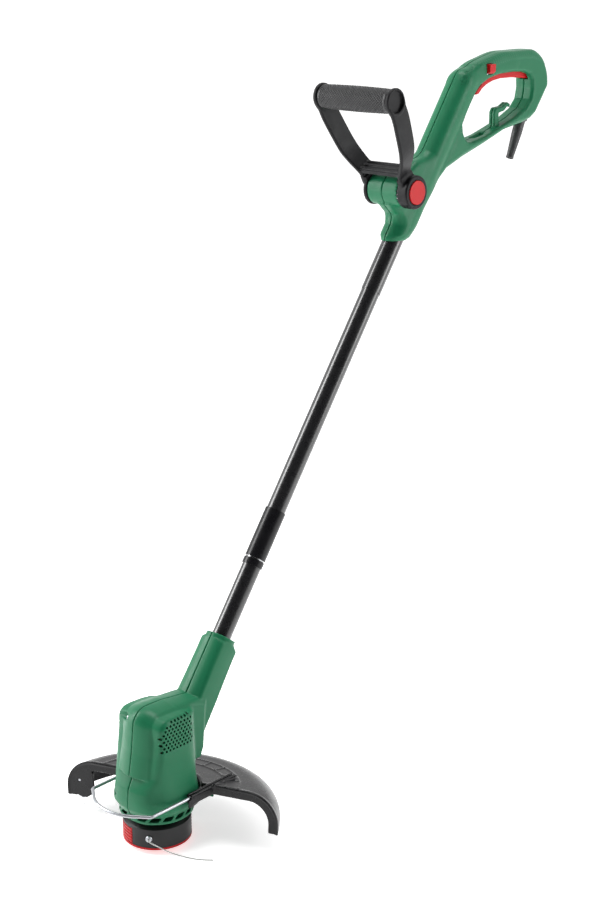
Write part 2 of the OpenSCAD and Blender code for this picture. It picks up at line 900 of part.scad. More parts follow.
module cable_seat(gap) {
    cable_frame() {
        translate([0, 0, -3]) cylinder(r = 9 + gap, h = 4);
        cylinder(r = 7 + gap, h = 40);
    }
}

module cable_sleeve() {
    color(black) cable_frame() difference() {
        union() {
            translate([0, 0, -3]) cylinder(r = 9, h = 4);
            cylinder(r = 7, h = 20);
            translate([0, 0, 20 - eps]) cylinder(r1 = 7, r2 = 4.9, h = 35);
            translate([0, 0, 54]) cylinder(r = 5.3, h = 2);
        }
        translate([0, 0, -5]) cylinder(r = cable_bore, h = 70);
    }
}

module cable_clamp() {
    color(black) difference() {
        translate([clamp_x - 5.5, -6.3, clamp_z - 5]) cube([12, 12.6, 10]);
        rod_y(clamp_x, clamp_z, 3.5 + seat, -20, 20);
    }
}

// The lead inside the tubes, from the switch to the brush holders.
lead_route = [[651.5, 0, 880], [644, 3, 880], [636, 8, 880], [626, 8, 880], [614, 4, 878.4], [603, 3, 877.9],
    [592, 0, 873], [576, 0, 861], [560, 0, 848], [534, 0, 822], [505, 0, 778], [486, 0, 750],
    [474.6, 0, 731.4], [318, 0, 512.6], [161.3, 0, 293.7], [84, 0, 185.6], [66, 0, 162], [54, 0, 150],
    [50, 0, 138], [42, 7, 127], [28, 15, 124], [7.2, 19.6, 124]];

module internal_lead() {
    color(black) swept_tube(lead_route, 1.8, [0, 1, 0]);
}

// ---------------------------------------------------------------- front handle

module bail_frame() {
    translate([hub_x, 0, hub_z]) rotate([0, -bail_lean, 0]) children();
}

// Centre line of one arm as [distance from the middle, distance from the pivot].
arm_line = [[30.5, 14], [30.5, 27], [35, 36], [43, 50], [49, 66], [54.6, 96], [57, 114],
    [57, bail_reach]];
arm_half = 2.6;

module bail_arm(side, width) {
    outer = [for (p = arm_line) [side * (p[0] + arm_half), p[1]]];
    inner = [for (i = [len(arm_line) - 1 : -1 : 0]) [side * (arm_line[i][0] - arm_half), arm_line[i][1]]];
    bail_frame() rotate([90, 0, 90]) translate([0, 0, -width / 2]) linear_extrude(height = width)
        polygon(concat(outer, inner));
}

module front_bail() {
    left_in = hub_half + bail_gap;
    color(black) difference() {
        union() {
            for (side = [-1, 1]) {
                bail_arm(side, 26);
                bail_frame() translate([0, side * 57, bail_reach]) rotate([90, 0, 0])
                    translate([0, 0, -arm_half]) cylinder(r = grip_r, h = 2 * arm_half);
            }
            bail_frame() translate([0, 55, bail_reach]) rotate([90, 0, 0]) cylinder(r = 11, h = 110);
            bail_frame() translate([-11, -33, 29]) cube([22, 66, 5]);
            for (i = [-1 : 1])
                bail_frame() translate([i * 7 - 1.5, -33, 33]) cube([3, 66, 2]);
            rod_y(hub_x, hub_z, ring_r, left_in, left_in + 5);
            bail_frame() translate([-12, left_in, 10]) cube([24, 8, 14]);
            bail_frame() translate([-12, -left_in - 9, 10]) cube([24, 9, 14]);
            rod_y(hub_x, hub_z, ring_r, -left_in - 16, -left_in);
        }
        rod_y(hub_x, hub_z, 5 + running, -60, 60);
        rod_y(hub_x, hub_z, 15.2, -left_in - 20, -left_in - 3);
        for (side = [-1, 1])
            bail_frame() translate([0, side > 0 ? 62 : -57.4, bail_reach]) rotate([90, 0, 0])
                cylinder(r = 13.6, h = 4.6);
    }
}

module front_grip() {
    color([0.14, 0.14, 0.15]) bail_frame() translate([0, 54.2, bail_reach]) rotate([90, 0, 0])
        difference() {
            cylinder(r = grip_r, h = 108.4);
            translate([0, 0, -1]) cylinder(r = 11, h = 112);
        }
}

module hub_button() {
    color(red) {
        rod_y(hub_x, hub_z, 14.9, -41.5, -36);
        rod_y(hub_x, hub_z, 8, -36.5, -33.9);
    }
}

module hub_spring() {
    color(steel) translate([hub_x, -27.6, hub_z]) rotate([90, 0, 0]) spring_tube(11, 1.4, 0, 4.1);
}

module hub_bolt() {
    color(steel) {
        rod_y(hub_x, hub_z, 5, -29.2, 29.4);
        rod_y(hub_x, hub_z, 8, 29.8, 32.3);
        rod_y(hub_x, hub_z, 5, 29, 30);
    }
}

module detent_plate() {
    teeth = 24;
    color(steel) difference() {
        rod_y(hub_x, hub_z, 18.9, -hub_half, -hub_half + 2);
        rod_y(hub_x, hub_z, 5 + running, -40, 0);
        for (i = [0 : teeth - 1])
            translate([hub_x, 0, hub_z]) rotate([0, i * 360 / teeth, 0])
                translate([15.5, -hub_half - 1, -0.8]) cube([2.4, 2, 1.6]);
    }
}

motor_housing_left();
motor_housing_right();
housing_screws();
stator_core();
field_windings();
armature_core();
armature_windings();
commutator();
motor_shaft();
upper_bearing();
lower_bearing();
carbon_brushes();
brush_holders();
cooling_fan();
spool_housing();
line_eyelet();
spool_cover();
cover_tab_front();
cover_tab_rear();
tap_button();
spool_spring();
line_spool();
wound_line();
trimmer_line();
guard();
guard_screws();
cutter_blade();
blade_screw();
guard_wire();
lower_tube();
joint_collar();
joint_sleeve();
joint_spigot();
middle_tube();
upper_tube();
handle_left();
handle_right();
handle_screws();
trigger();
trigger_pin();
trigger_spring();
switch_body();
switch_plunger();
lock_button();
lock_spring();
cable_clamp();
cable_sleeve();
internal_lead();
front_bail();
front_grip();
hub_button();
hub_spring();
hub_bolt();
detent_plate();
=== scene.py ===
"""Looks of a corded string trimmer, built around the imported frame."""

import json
import math

import bmesh
import bpy
import numpy as np
from mathutils import Matrix, Vector


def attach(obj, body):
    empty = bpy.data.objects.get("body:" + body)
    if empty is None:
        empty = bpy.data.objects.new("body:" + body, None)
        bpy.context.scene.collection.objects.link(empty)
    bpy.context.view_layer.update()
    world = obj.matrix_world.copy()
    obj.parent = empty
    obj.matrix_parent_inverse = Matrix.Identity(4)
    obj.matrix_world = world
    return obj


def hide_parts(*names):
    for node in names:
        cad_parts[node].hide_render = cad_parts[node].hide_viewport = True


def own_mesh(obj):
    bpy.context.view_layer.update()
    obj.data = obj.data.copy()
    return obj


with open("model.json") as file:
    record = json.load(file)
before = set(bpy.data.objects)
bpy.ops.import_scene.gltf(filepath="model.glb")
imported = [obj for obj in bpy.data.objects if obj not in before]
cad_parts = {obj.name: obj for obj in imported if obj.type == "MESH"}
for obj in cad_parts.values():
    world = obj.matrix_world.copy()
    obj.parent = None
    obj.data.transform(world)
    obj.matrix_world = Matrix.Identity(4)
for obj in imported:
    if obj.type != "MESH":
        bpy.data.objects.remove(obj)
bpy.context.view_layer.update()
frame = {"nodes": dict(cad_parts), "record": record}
MM = 0.001


# ------------------------------------------------------------------ camera

# The place, turn and tilt in degrees and lens in mm that give the photograph's view.
CAMERA_AT = (-1.2117, -1.3352, 1.0367)
CAMERA_YAW = 42.33
CAMERA_DOWN = 17.02
CAMERA_LENS = 67.25
SENSOR = 36.0


def make_camera():
    cam = bpy.data.cameras.new("camera")
    cam.sensor_fit = "VERTICAL"
    cam.sensor_height = SENSOR
    cam.lens = CAMERA_LENS
    cam.clip_end = 30
    obj = bpy.data.objects.new("camera", cam)
    obj.location = CAMERA_AT
    obj.rotation_euler = (math.radians(90 - CAMERA_DOWN), 0, math.radians(CAMERA_YAW - 90))
    bpy.context.collection.objects.link(obj)
    bpy.context.scene.camera = obj


# ------------------------------------------------------------------ materials

# Each colour is a pair of linear RGB values, the darker one first.
GREEN = (0.008, 0.118, 0.052), (0.011, 0.138, 0.062)
RED = (0.40, 0.006, 0.008), (0.46, 0.009, 0.011)
BLACK = (0.005, 0.005, 0.006), (0.009, 0.009, 0.010)
GLOSS_BLACK = (0.004, 0.004, 0.005), (0.007, 0.007, 0.008)
SATIN_BLACK = (0.005, 0.005, 0.006), (0.008, 0.008, 0.009)
LACQUER_BLACK = (0.006, 0.006, 0.007), (0.011, 0.011, 0.012)
GRIP_BLACK = (0.005, 0.005, 0.006), (0.010, 0.010, 0.011)
RUBBER_BLACK = (0.013, 0.013, 0.014), (0.024, 0.024, 0.026)
CARBON = (0.02, 0.02, 0.022), (0.05, 0.05, 0.052)
NYLON = (0.34, 0.35, 0.34), (0.46, 0.47, 0.45)
STEEL = (0.55, 0.56, 0.58), (0.68, 0.69, 0.70)
DULL_STEEL = (0.30, 0.31, 0.33), (0.40, 0.41, 0.43)
COPPER = (0.55, 0.22, 0.10), (0.70, 0.32, 0.16)
BRASS = (0.60, 0.43, 0.17), (0.72, 0.54, 0.25)
FLOOR_GREY = (0.86, 0.86, 0.86), (0.88, 0.88, 0.88)

# name, colour, roughness, grain scale, grain strength, specular level
PLASTICS = [("green_plastic", GREEN, 0.38, 2600, 0.10, 0.2),
            ("black_plastic", BLACK, 0.40, 2400, 0.12, 0.3),
            ("gloss_black_plastic", GLOSS_BLACK, 0.27, 1500, 0.05, 0.25),
            ("satin_black", SATIN_BLACK, 0.44, 2200, 0.12, 0.15),
            ("red_plastic", RED, 0.34, 2000, 0.06, 0.2),
            ("carbon", CARBON, 0.55, 1800, 0.25, 0.5)]
# name, colour, roughness, stretch of the scratches along the part
METALS = [("steel", STEEL, 0.26, 12), ("dull_steel", DULL_STEEL, 0.30, 12),
          ("copper", COPPER, 0.34, 30), ("brass", BRASS, 0.30, 10)]
PLASTIC_EDGE = 0.0006  # metres, the softened edge of a moulded part
METAL_EDGE = 0.0004
FINE = 0.0002  # metres, the height of moulding grain


class Nodes:
    """A small helper that builds one procedural material."""

    def __init__(self, name):
        self.mat = bpy.data.materials.new(name)
        self.mat.use_nodes = True
        self.tree = self.mat.node_tree
        self.shader = self.tree.nodes["Principled BSDF"]
        self.coords = self.add("ShaderNodeTexCoord").outputs["Object"]

    def add(self, kind, **settings):
        n = self.tree.nodes.new(kind)
        for key, value in settings.items():
            setattr(n, key, value)
        return n

    def link(self, a, b):
        self.tree.links.new(a, b)

    def noise(self, scale, detail=2.0, rough=0.5, coords=None):
        n = self.add("ShaderNodeTexNoise")
        n.inputs["Scale"].default_value = scale
        n.inputs["Detail"].default_value = detail
        n.inputs["Roughness"].default_value = rough
        self.link(coords or self.coords, n.inputs["Vector"])
        return n.outputs["Fac"]

    def cells(self, scale, randomness=1.0, coords=None):
        n = self.add("ShaderNodeTexVoronoi", feature="F1")
        n.inputs["Scale"].default_value = scale
        n.inputs["Randomness"].default_value = randomness
        self.link(coords or self.coords, n.inputs["Vector"])
        return n.outputs["Distance"]

    def mapped(self, setting, value):
        """Object coordinates with one setting of a mapping, Scale or Rotation."""
        n = self.add("ShaderNodeMapping")
        n.inputs[setting].default_value = value
        self.link(self.coords, n.inputs["Vector"])
        return n.outputs["Vector"]

    def span(self, value, lo, hi, to_lo, to_hi):
        n = self.add("ShaderNodeMapRange")
        n.inputs["From Min"].default_value = lo
        n.inputs["From Max"].default_value = hi
        n.inputs["To Min"].default_value = to_lo
        n.inputs["To Max"].default_value = to_hi
        self.link(value, n.inputs["Value"])
        return n.outputs["Result"]

    def fix(self, socket, value):
        """Sets a constant straight on the shader."""
        self.shader.inputs[socket].default_value = value

    def colour(self, value, pair):
        """Lets a slow pattern drift between the two values of a colour."""
        n = self.add("ShaderNodeMix", data_type="RGBA")
        n.inputs["A"].default_value = (*pair[0], 1)
        n.inputs["B"].default_value = (*pair[1], 1)
        self.link(value, n.inputs["Factor"])
        self.link(n.outputs["Result"], self.shader.inputs["Base Color"])

    def gloss(self, value, lo, hi, to_lo, to_hi):
        self.link(self.span(value, lo, hi, to_lo, to_hi), self.shader.inputs["Roughness"])

    def bump(self, height, strength, distance, edge=0.0):
        n = self.add("ShaderNodeBump")
        n.inputs["Strength"].default_value = strength
        n.inputs["Distance"].default_value = distance
        self.link(height, n.inputs["Height"])
        if edge:
            bevel = self.add("ShaderNodeBevel", samples=4)
            bevel.inputs["Radius"].default_value = edge
            self.link(bevel.outputs["Normal"], n.inputs["Normal"])
        self.link(n.outputs["Normal"], self.shader.inputs["Normal"])


def plastic(name, pair, rough, grain_scale, grain, specular):
    """Moulded plastic: slow colour drift, fine moulding grain, slightly uneven gloss."""
    m = Nodes(name)
    m.colour(m.noise(22, 3), pair)
    m.gloss(m.noise(60, 4), 0.35, 0.65, rough - 0.04, rough + 0.05)
    m.bump(m.noise(grain_scale), grain, FINE, PLASTIC_EDGE)
    m.fix("Specular IOR Level", specular)
    return m.mat


def metal(name, pair, rough, stretch):
    """Drawn or turned metal with fine scratches along one direction."""
    m = Nodes(name)
    lines = m.noise(900, 4, 0.7, m.mapped("Scale", (1, 1, stretch)))
    m.colour(m.noise(40, 3), pair)
    m.gloss(lines, 0.3, 0.7, rough - 0.06, rough + 0.08)
    m.bump(lines, 0.12, FINE / 2, METAL_EDGE)
    m.fix("Metallic", 1.0)
    return m.mat


def dimpled_green():
    """The green plastic with rows of small dimples, for the top of the main handle."""
    m = Nodes("green_grip")
    turned = m.mapped("Rotation", (math.radians(20), math.radians(8), math.radians(45)))
    hollow = m.span(m.cells(300, 0.0, turned), 0.15, 0.45, 0.0, 1.0)
    m.colour(m.noise(22, 3), GREEN)
    m.gloss(m.noise(60, 4), 0.35, 0.65, 0.34, 0.43)
    m.bump(hollow, 0.5, 0.0005)
    m.fix("Specular IOR Level", 0.25)
    return m.mat


def grip_rubber():
    """Soft moulded grip: slow colour drift, a fine matt grain and an uneven sheen."""
    m = Nodes("grip_rubber")
    m.colour(m.noise(60, 3), GRIP_BLACK)
    m.gloss(m.noise(220, 3), 0.3, 0.7, 0.30, 0.42)
    m.bump(m.noise(2600), 0.2, FINE)
    m.fix("Specular IOR Level", 0.3)
    return m.mat


def black_rubber():
    """Matt rubber with a dimpled skin."""
    m = Nodes("black_rubber")
    m.colour(m.noise(50, 3), RUBBER_BLACK)
    m.gloss(m.noise(200, 3), 0.3, 0.7, 0.45, 0.6)
    m.bump(m.span(m.cells(620), 0.0, 0.45, 1.0, 0.0), 0.30, 2 * FINE)
    return m.mat


def black_lacquer():
    """The painted steel tubes: a clear coat over a skin that has flowed a little."""
    m = Nodes("black_lacquer")
    flow = m.noise(700, 3, 0.5, m.mapped("Scale", (1, 1, 0.6)))
    m.colour(m.noise(30, 3), LACQUER_BLACK)
    m.gloss(m.noise(160, 4), 0.3, 0.7, 0.24, 0.33)
    m.bump(flow, 0.10, FINE)
    m.fix("Coat Weight", 0.4)
    m.fix("Coat Roughness", 0.15)
    return m.mat


def nylon_line():
    """Slightly clear nylon."""
    m = Nodes("nylon_line")
    m.colour(m.noise(300), NYLON)
    m.gloss(m.noise(500), 0.3, 0.7, 0.25, 0.4)
    m.fix("Transmission Weight", 0.25)
    return m.mat


def make_materials():
    mats = {row[0]: plastic(*row) for row in PLASTICS}
    mats.update({row[0]: metal(*row) for row in METALS})
    mats.update(green_grip=dimpled_green(), grip_rubber=grip_rubber(), black_rubber=black_rubber(),
                black_lacquer=black_lacquer(), nylon_line=nylon_line())
    return mats


def paint(obj, mat):
    obj.data.materials.clear()
    obj.data.materials.append(mat)


# ------------------------------------------------------------------ mesh helpers

def link_mesh(name, bm, smooth=True):
    """Turns a bmesh into a linked object and frees it."""
    mesh = bpy.data.meshes.new(name)
    bmesh.ops.recalc_face_normals(bm, faces=bm.faces)
    bm.to_mesh(mesh)
    bm.free()
    for p in mesh.polygons:
        p.use_smooth = smooth
    obj = bpy.data.objects.new(name, mesh)
    bpy.context.collection.objects.link(obj)
    return obj


def tube_mesh(bm, path, radius, sides=12):
    """Sweeps a round section along a path."""
    rings = []
    side = None
    for i, p in enumerate(path):
        a, b = path[max(i - 1, 0)], path[min(i + 1, len(path) - 1)]
        t = (Vector(b) - Vector(a)).normalized()
        if side is None:
            side = t.orthogonal().normalized()
        side = (side - t * side.dot(t)).normalized()
        up = t.cross(side)
        turns = [2 * math.pi * k / sides for k in range(sides)]
        rings.append([bm.verts.new(Vector(p) + side * radius * math.cos(turn)
                                   + up * radius * math.sin(turn)) for turn in turns])
    for lo, hi in zip(rings[:-1], rings[1:]):
        for k in range(sides):
            bm.faces.new((lo[k], lo[(k + 1) % sides], hi[(k + 1) % sides], hi[k]))
    bm.faces.new(list(reversed(rings[0])))
    bm.faces.new(rings[-1])


def spline(points, steps):
    """A smooth curve through given points."""
    out = []
    pts = [Vector(p) for p in points]
    for i in range(len(pts) - 1):
        a, b = pts[max(i - 1, 0)], pts[i]
        c, d = pts[i + 1], pts[min(i + 2, len(pts) - 1)]
        for k in range(steps):
            t = k / steps
            out.append(0.5 * (2 * b + (c - a) * t + (2 * a - 5 * b + 4 * c - d) * t * t
                              + (3 * b - a - 3 * c + d) * t ** 3))
    out.append(pts[-1])
    return out


# ------------------------------------------------------------------ solid fields
# A field gives each grid point its distance in mm to a surface, negative inside.

def rmax(a, b, r):
    """Intersection of two fields with a rounded outside edge of radius r."""
    return (np.minimum(-r, np.maximum(a, b))
            + np.hypot(np.maximum(a + r, 0), np.maximum(b + r, 0)))


def rmin(a, b, r):
    """Union of two fields with a fillet of radius r."""
    return (np.maximum(r, np.minimum(a, b))
            - np.hypot(np.maximum(r - a, 0), np.maximum(r - b, 0)))


def outline_field(a, b, pts):
    """Signed distance in a plane to a closed outline; a and b broadcast together."""
    pts = np.array(pts, float)
    tiny = 1e-9
    best = None
    inside = np.zeros(np.broadcast(a, b).shape, bool)
    for (ax, ay), (bx, by) in zip(pts, np.roll(pts, -1, axis=0)):
        ex, ey = bx - ax, by - ay
        t = np.clip(((a - ax) * ex + (b - ay) * ey) / (ex * ex + ey * ey + tiny), 0, 1)
        d = np.hypot(a - ax - t * ex, b - ay - t * ey)
        best = d if best is None else np.minimum(best, d)
        if abs(ey) > tiny:
            inside ^= ((ay > b) != (by > b)) & (a < ax + (b - ay) * ex / ey)
    return np.where(inside, -best, best)


def path_distance(a, b, pts):
    """Distance in a plane to an open line of points."""
    best = None
    for (ax, ay), (bx, by) in zip(pts[:-1], pts[1:]):
        ex, ey = bx - ax, by - ay
        t = np.clip(((a - ax) * ex + (b - ay) * ey) / (ex * ex + ey * ey), 0, 1)
        d = np.hypot(a - ax - t * ex, b - ay - t * ey)
        best = d if best is None else np.minimum(best, d)
    return best


def along(value, points):
    """Reads off a value between (place, value) points."""
    return np.interp(value, *zip(*points))


def grid(lo, hi, step):
    x, y, z = (np.arange(a, b + step, step, dtype=np.float32) for a, b in zip(lo, hi))
    return x[:, None, None], y[None, :, None], z[None, None, :]


def field_mesh(name, field, lo, step, move=None):
    """Turns a field into a smooth quad mesh, one vertex for each cell that the surface crosses."""
    field = np.ascontiguousarray(field, dtype=np.float32)
    neg = field < 0
    shape = tuple(n - 1 for n in field.shape)
    total = np.zeros(shape + (3,), np.float32)
    count = np.zeros(shape, np.int16)
    crossings = []
    for axis in range(3):
        f = np.moveaxis(field, axis, 0)
        g = np.moveaxis(neg, axis, 0)
        cross = g[:-1] != g[1:]
        t = np.where(cross, f[:-1] / np.where(cross, f[:-1] - f[1:], 1), 0)
        crossings.append((cross, g[:-1]))
        tot = np.moveaxis(total, axis, 0)
        cnt = np.moveaxis(count, axis, 0)
        rest = [k for k in range(3) if k != axis]
        for u in (0, 1):
            for v in (0, 1):
                c = cross[:, u:u + cnt.shape[1], v:v + cnt.shape[2]]
                tot[..., axis] += t[:, u:u + cnt.shape[1], v:v + cnt.shape[2]]
                tot[..., rest[0]] += u * c
                tot[..., rest[1]] += v * c
                cnt += c
    live = count > 0
    index = np.full(shape, -1, np.int64)
    cells = np.argwhere(live)
    index[live] = np.arange(len(cells))
    verts = cells + total[live] / count[live][:, None]
    verts = np.array(lo) + verts * step
    quads = []
    for axis in range(3):
        cross, low = crossings[axis]
        idx = np.moveaxis(index, axis, 0)
        inner = cross[:, 1:-1, 1:-1]
        i, j, k = np.nonzero(inner)
        ring = np.stack([idx[i, j, k], idx[i, j + 1, k], idx[i, j + 1, k + 1], idx[i, j, k + 1]], 1)
        flip = low[:, 1:-1, 1:-1][i, j, k] == (axis == 1)
        ring[flip] = ring[flip][:, ::-1]
        quads.append(ring)
    quads = np.concatenate(quads)
    verts = verts * MM
    if move is not None:
        m = np.array(move)
        verts = verts @ m[:3, :3].T + m[:3, 3]
    mesh = bpy.data.meshes.new(name)
    mesh.vertices.add(len(verts))
    mesh.vertices.foreach_set("co", verts.astype(np.float32).ravel())
    mesh.loops.add(quads.size)
    mesh.loops.foreach_set("vertex_index", quads.astype(np.int32).ravel())
    mesh.polygons.add(len(quads))
    mesh.polygons.foreach_set("loop_start", np.arange(0, quads.size, 4, dtype=np.int32))
    mesh.polygons.foreach_set("use_smooth", np.ones(len(quads), bool))
    mesh.update(calc_edges=True)
    mesh.validate()
    obj = bpy.data.objects.new(name, mesh)
    bpy.context.collection.objects.link(obj)
    return obj


def bake(obj):
    """Applies the object's modifiers to its mesh."""
    deps = bpy.context.evaluated_depsgraph_get()
    mesh = bpy.data.meshes.new_from_object(obj.evaluated_get(deps))
    obj.modifiers.clear()
    obj.data = mesh


def drill(obj, rods, radius, sides=20):
    """Cuts round holes; each rod is a pair of end points in metres."""
    bm = bmesh.new()
    for a, b in rods:
        tube_mesh(bm, [a, b], radius, sides)
    bmesh.ops.recalc_face_normals(bm, faces=bm.faces)
    cutter = link_mesh("drill", bm, False)
    before = len(obj.data.vertices)
    for solver in ("MANIFOLD", "EXACT"):
        mod = obj.modifiers.new("drill", "BOOLEAN")
        mod.operation = "DIFFERENCE"
        mod.solver = solver
        mod.object = cutter
        drilled = obj.evaluated_get(bpy.context.evaluated_depsgraph_get()).data
        if len(drilled.vertices) > before:
            bake(obj)
            break
        obj.modifiers.remove(mod)
    else:
        raise RuntimeError("neither solver could drill " + obj.name)
    bpy.data.objects.remove(cutter)
    obj.data.set_sharp_from_angle(angle=math.radians(50))


def finish_piece(obj, mat, body, node):
    """Paints a piece, hides the frame node that it stands for and hangs it on the body it rides."""
    paint(obj, mat)
    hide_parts(node)
    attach(obj, body)


# ------------------------------------------------------------------ shared frames and outlines

# The straight tube: a point on its axis, and its angle above the ground.
SHAFT_AT = (26.9, 106.0)
SHAFT_LEAN = math.radians(54.4)
SHAFT_X, SHAFT_Z = math.cos(SHAFT_LEAN), math.sin(SHAFT_LEAN)


def shaft_coords(x, z):
    """Distance along the tube, and distance behind its axis."""
    dx, dz = x - SHAFT_AT[0], z - SHAFT_AT[1]
    return dx * SHAFT_X + dz * SHAFT_Z, dx * SHAFT_Z - dz * SHAFT_X


GUARD_TURN = math.radians(21)
GUARD_AT = (3, -7.5)
GUARD_FRONT = 19.5


def guard_coords(x, y):
    """Distance behind the guard's centre, and distance to its side, seen from above."""
    dx, dy = x - GUARD_AT[0], y - GUARD_AT[1]
    c, s = math.cos(GUARD_TURN), math.sin(GUARD_TURN)
    return dx * c + dy * s, -dx * s + dy * c


def arc(cx, cz, r, a0, a1, n=10):
    """Points of a circle's arc, the angles in degrees."""
    return [(cx + r * math.cos(math.radians(a0 + (a1 - a0) * i / n)),
             cz + r * math.sin(math.radians(a0 + (a1 - a0) * i / n))) for i in range(n + 1)]


# ------------------------------------------------------------------ motor housing

WALL = 2.6
SPLIT = 0.13  # each shell stops this far short of the middle plane
SPLIT_EDGE = 0.45
BOSS_R = 6
POD_SIDE = ([(43, 30), (46, 50), (50, 57), (47, 74), (46, 88), (56, 108), (62, 168), (46, 172.6),
             (12, 177.2), (-6, 178)] + arc(-14, 157.5, 20.4, 95, 175)
            + [(-38, 126), (-40.5, 112), (-43, 97), (-46, 80), (-47, 66), (-47, 56), (-45.5, 50),
               (-43, 30)])
# Half width and radius of the pod, and how far its core sits inside its outline, by height.
POD_WIDTH = [(30, 47), (58, 47), (82, 43.5), (110, 41), (140, 39.5), (160, 38.5), (170, 36.5),
             (175, 33), (179, 27)]
POD_GIRTH = [(40, 44.5), (52, 45.5), (55, 48), (58, 50.3), (63, 50.5), (72, 49), (84, 47.5),
             (98, 47), (132, 46.2), (160, 45.5), (180, 44)]
POD_INSET = [(80, 0.9), (100, 7), (145, 8), (162, 6), (178, 5)]
RIDGE_HALF = [(96, 26.5), (120, 25.5), (150, 24), (175, 22.5)]
WEB_HALF = [(20, 21), (70, 20), (120, 18)]  # by distance along the tube
NECK_END = 148
WEB = [(20, 90), (44.5, 88), (50, 104.5), (130, 217.5), (103, 236.5), (55, 170), (20, 170)]
SCREWS = [(-38, 66), (-26, 162.5), (36, 66), (64, 146)]
VENTS = 18
VENT_Z = 47
GRILLE_ROWS, GRILLE_COLUMNS = 9, 10
GRILLE_AT = (-29, 166.5)
GRILLE_PITCH = (5.5, 4.1)
GRILLE_HOLE = 1.55


def housing_body(x, y, z):
    """The closed outer form: round core, flat ridge over it, web and neck along the tube."""
    r = np.hypot(x, y)
    ay = np.abs(y)
    crown = y * y / 80
    ahead = np.clip(-x / 15, 0, 1)
    rise = np.clip((z - 120) / 45, 0, 1)
    side = outline_field(x - crown * ahead, z + crown * rise * 0.9, POD_SIDE)
    inner = outline_field(x - crown * ahead * 0.2, z + crown * rise * 0.2, POD_SIDE)
    core = rmax(r - along(z, POD_GIRTH), inner + along(z, POD_INSET), 5)
    core = rmax(core, ay - along(z, POD_WIDTH), 4)
    ridge = rmax(rmax(side, ay - along(z, RIDGE_HALF), 3), 97.5 - z, 0.6)
    t, back = shaft_coords(x, z)
    web = rmax(outline_field(x, z, WEB), ay - along(t, WEB_HALF), 4)
    body = rmin(rmin(core, ridge, 3), web, 5)
    around = np.hypot(back, y)
    neck = rmax(rmax(around - 20.4, ay - 18, 2.5), np.abs(back) - 18.4, 2.5)
    neck = rmax(neck, 70 - t, 1)
    body = rmax(rmin(body, neck, 4), around + (t - 136) * 0.95 - 24.5, 0.6)
    return rmax(rmax(body, t - NECK_END, 0.8), 40.6 - z, 0.8)


def housing_field(x, y, z, hand):
    """One shell of the housing; hand is 1 for the right one and -1 for the left one."""
    body = housing_body(x, y, z)
    r = np.hypot(x, y)
    t, back = shaft_coords(x, z)
    tube = np.hypot(back, y)
    shell = np.maximum(body, -(body + WALL))
    shell = np.minimum(shell, np.maximum(np.maximum(tube - 18.5, 82 - t), t - NECK_END + 1))
    for bx, bz in SCREWS:
        off = np.hypot(x - bx, z - bz)
        shell = np.minimum(shell, np.maximum(off - BOSS_R, body + 0.6))
        if hand > 0:
            well = np.minimum(off - 4.1, 9) + np.maximum(12 - y, 0)
            shell = np.maximum(shell, -well)
    shell = np.maximum(shell, -np.maximum(tube - 12.15, 97 - t))
    turn = (np.degrees(np.arctan2(y, x)) + 5) % (360 / VENTS) - 180 / VENTS
    lean = np.abs(np.radians(turn) * r - (z - VENT_Z) * 0.9)
    slot = rmax(rmax(lean - 5.4, np.abs(z - VENT_Z) - 2.7, 1), 38 - r, 0.5)
    shell = rmax(shell, -slot, 0.5)
    shell = np.maximum(shell, -np.maximum(r - 8, z - 52))
    ledge = np.maximum(np.maximum(r - 68, np.abs(z - 55.5) - 1.5), 49 - r)
    front, _ = guard_coords(x, y)
    shell = np.minimum(shell, np.maximum(ledge, GUARD_FRONT + 3.5 - front))
    return rmax(shell, -hand * y + SPLIT, SPLIT_EDGE)


def grille_holes():
    """Staggered rows that stop at the round front of the pod and clear its screw."""
    holes = []
    for row in range(GRILLE_ROWS):
        for col in range(GRILLE_COLUMNS):
            x = GRILLE_AT[0] + (col + row % 2 / 2) * GRILLE_PITCH[0]
            z = GRILLE_AT[1] - row * GRILLE_PITCH[1]
            round_front = -25.5 + 14 * max(1 - row / 4, 0) ** 2
            if x >= round_front and math.dist((x, z), SCREWS[1]) > 7:
                holes.append((x, z))
    return holes


def make_housing(mats):
    step = 1.0
    for hand, name in ((-1, "left"), (1, "right")):
        lo = (-56, -72 if hand < 0 else -2.3, 37)
        hi = (128, 2.3 if hand < 0 else 72, 238)
        x, y, z = grid(lo, hi, step)
        obj = field_mesh("housing_" + name, housing_field(x, y, z, hand), lo, step)
        rods = [[(a * MM, hand * depth * MM, b * MM) for depth in (28, 60)]
                for a, b in grille_holes()]
        drill(obj, rods, GRILLE_HOLE * MM)
        finish_piece(obj, mats["green_plastic"], "frame",
                     "motor_housing_" + name)


# ------------------------------------------------------------------ main handle

HANDLE = ([(436, 669), (446, 670), (460, 681), (476, 703), (493, 721), (507, 737.5), (521, 749),
           (553, 760.5), (601, 774.5), (646, 789), (690, 795.5), (704, 799), (716, 806), (727, 820)]
          + arc(695, 844, 48, -4, 92, 12) + arc(655, 742, 150, 87, 104, 5)
          + [(590, 880.5), (577, 876), (566, 869), (552, 858), (490, 771.5), (460, 765),
             (441, 755), (432, 745), (410, 715), (424, 702), (430, 687.5), (421, 675)])
HANDLE_GAP = [(572, 779.5), (564, 780.5), (557, 785.5), (552.5, 793), (551.5, 803), (557, 815),
              (566, 828), (576, 841), (586, 850.5), (604, 858.5), (630, 863), (660, 864),
              (684, 862.5), (697, 858.5), (703, 851.5), (704, 840), (701, 826), (689, 814),
              (667, 804.5), (650, 798.5), (632, 793), (604, 785)]
TRIGGER_SLOT = [(584, 828), (600, 838), (690, 849.5), (703, 851.6), (724, 853.8), (724, 874),
                (640, 874), (604, 864), (588, 852)]
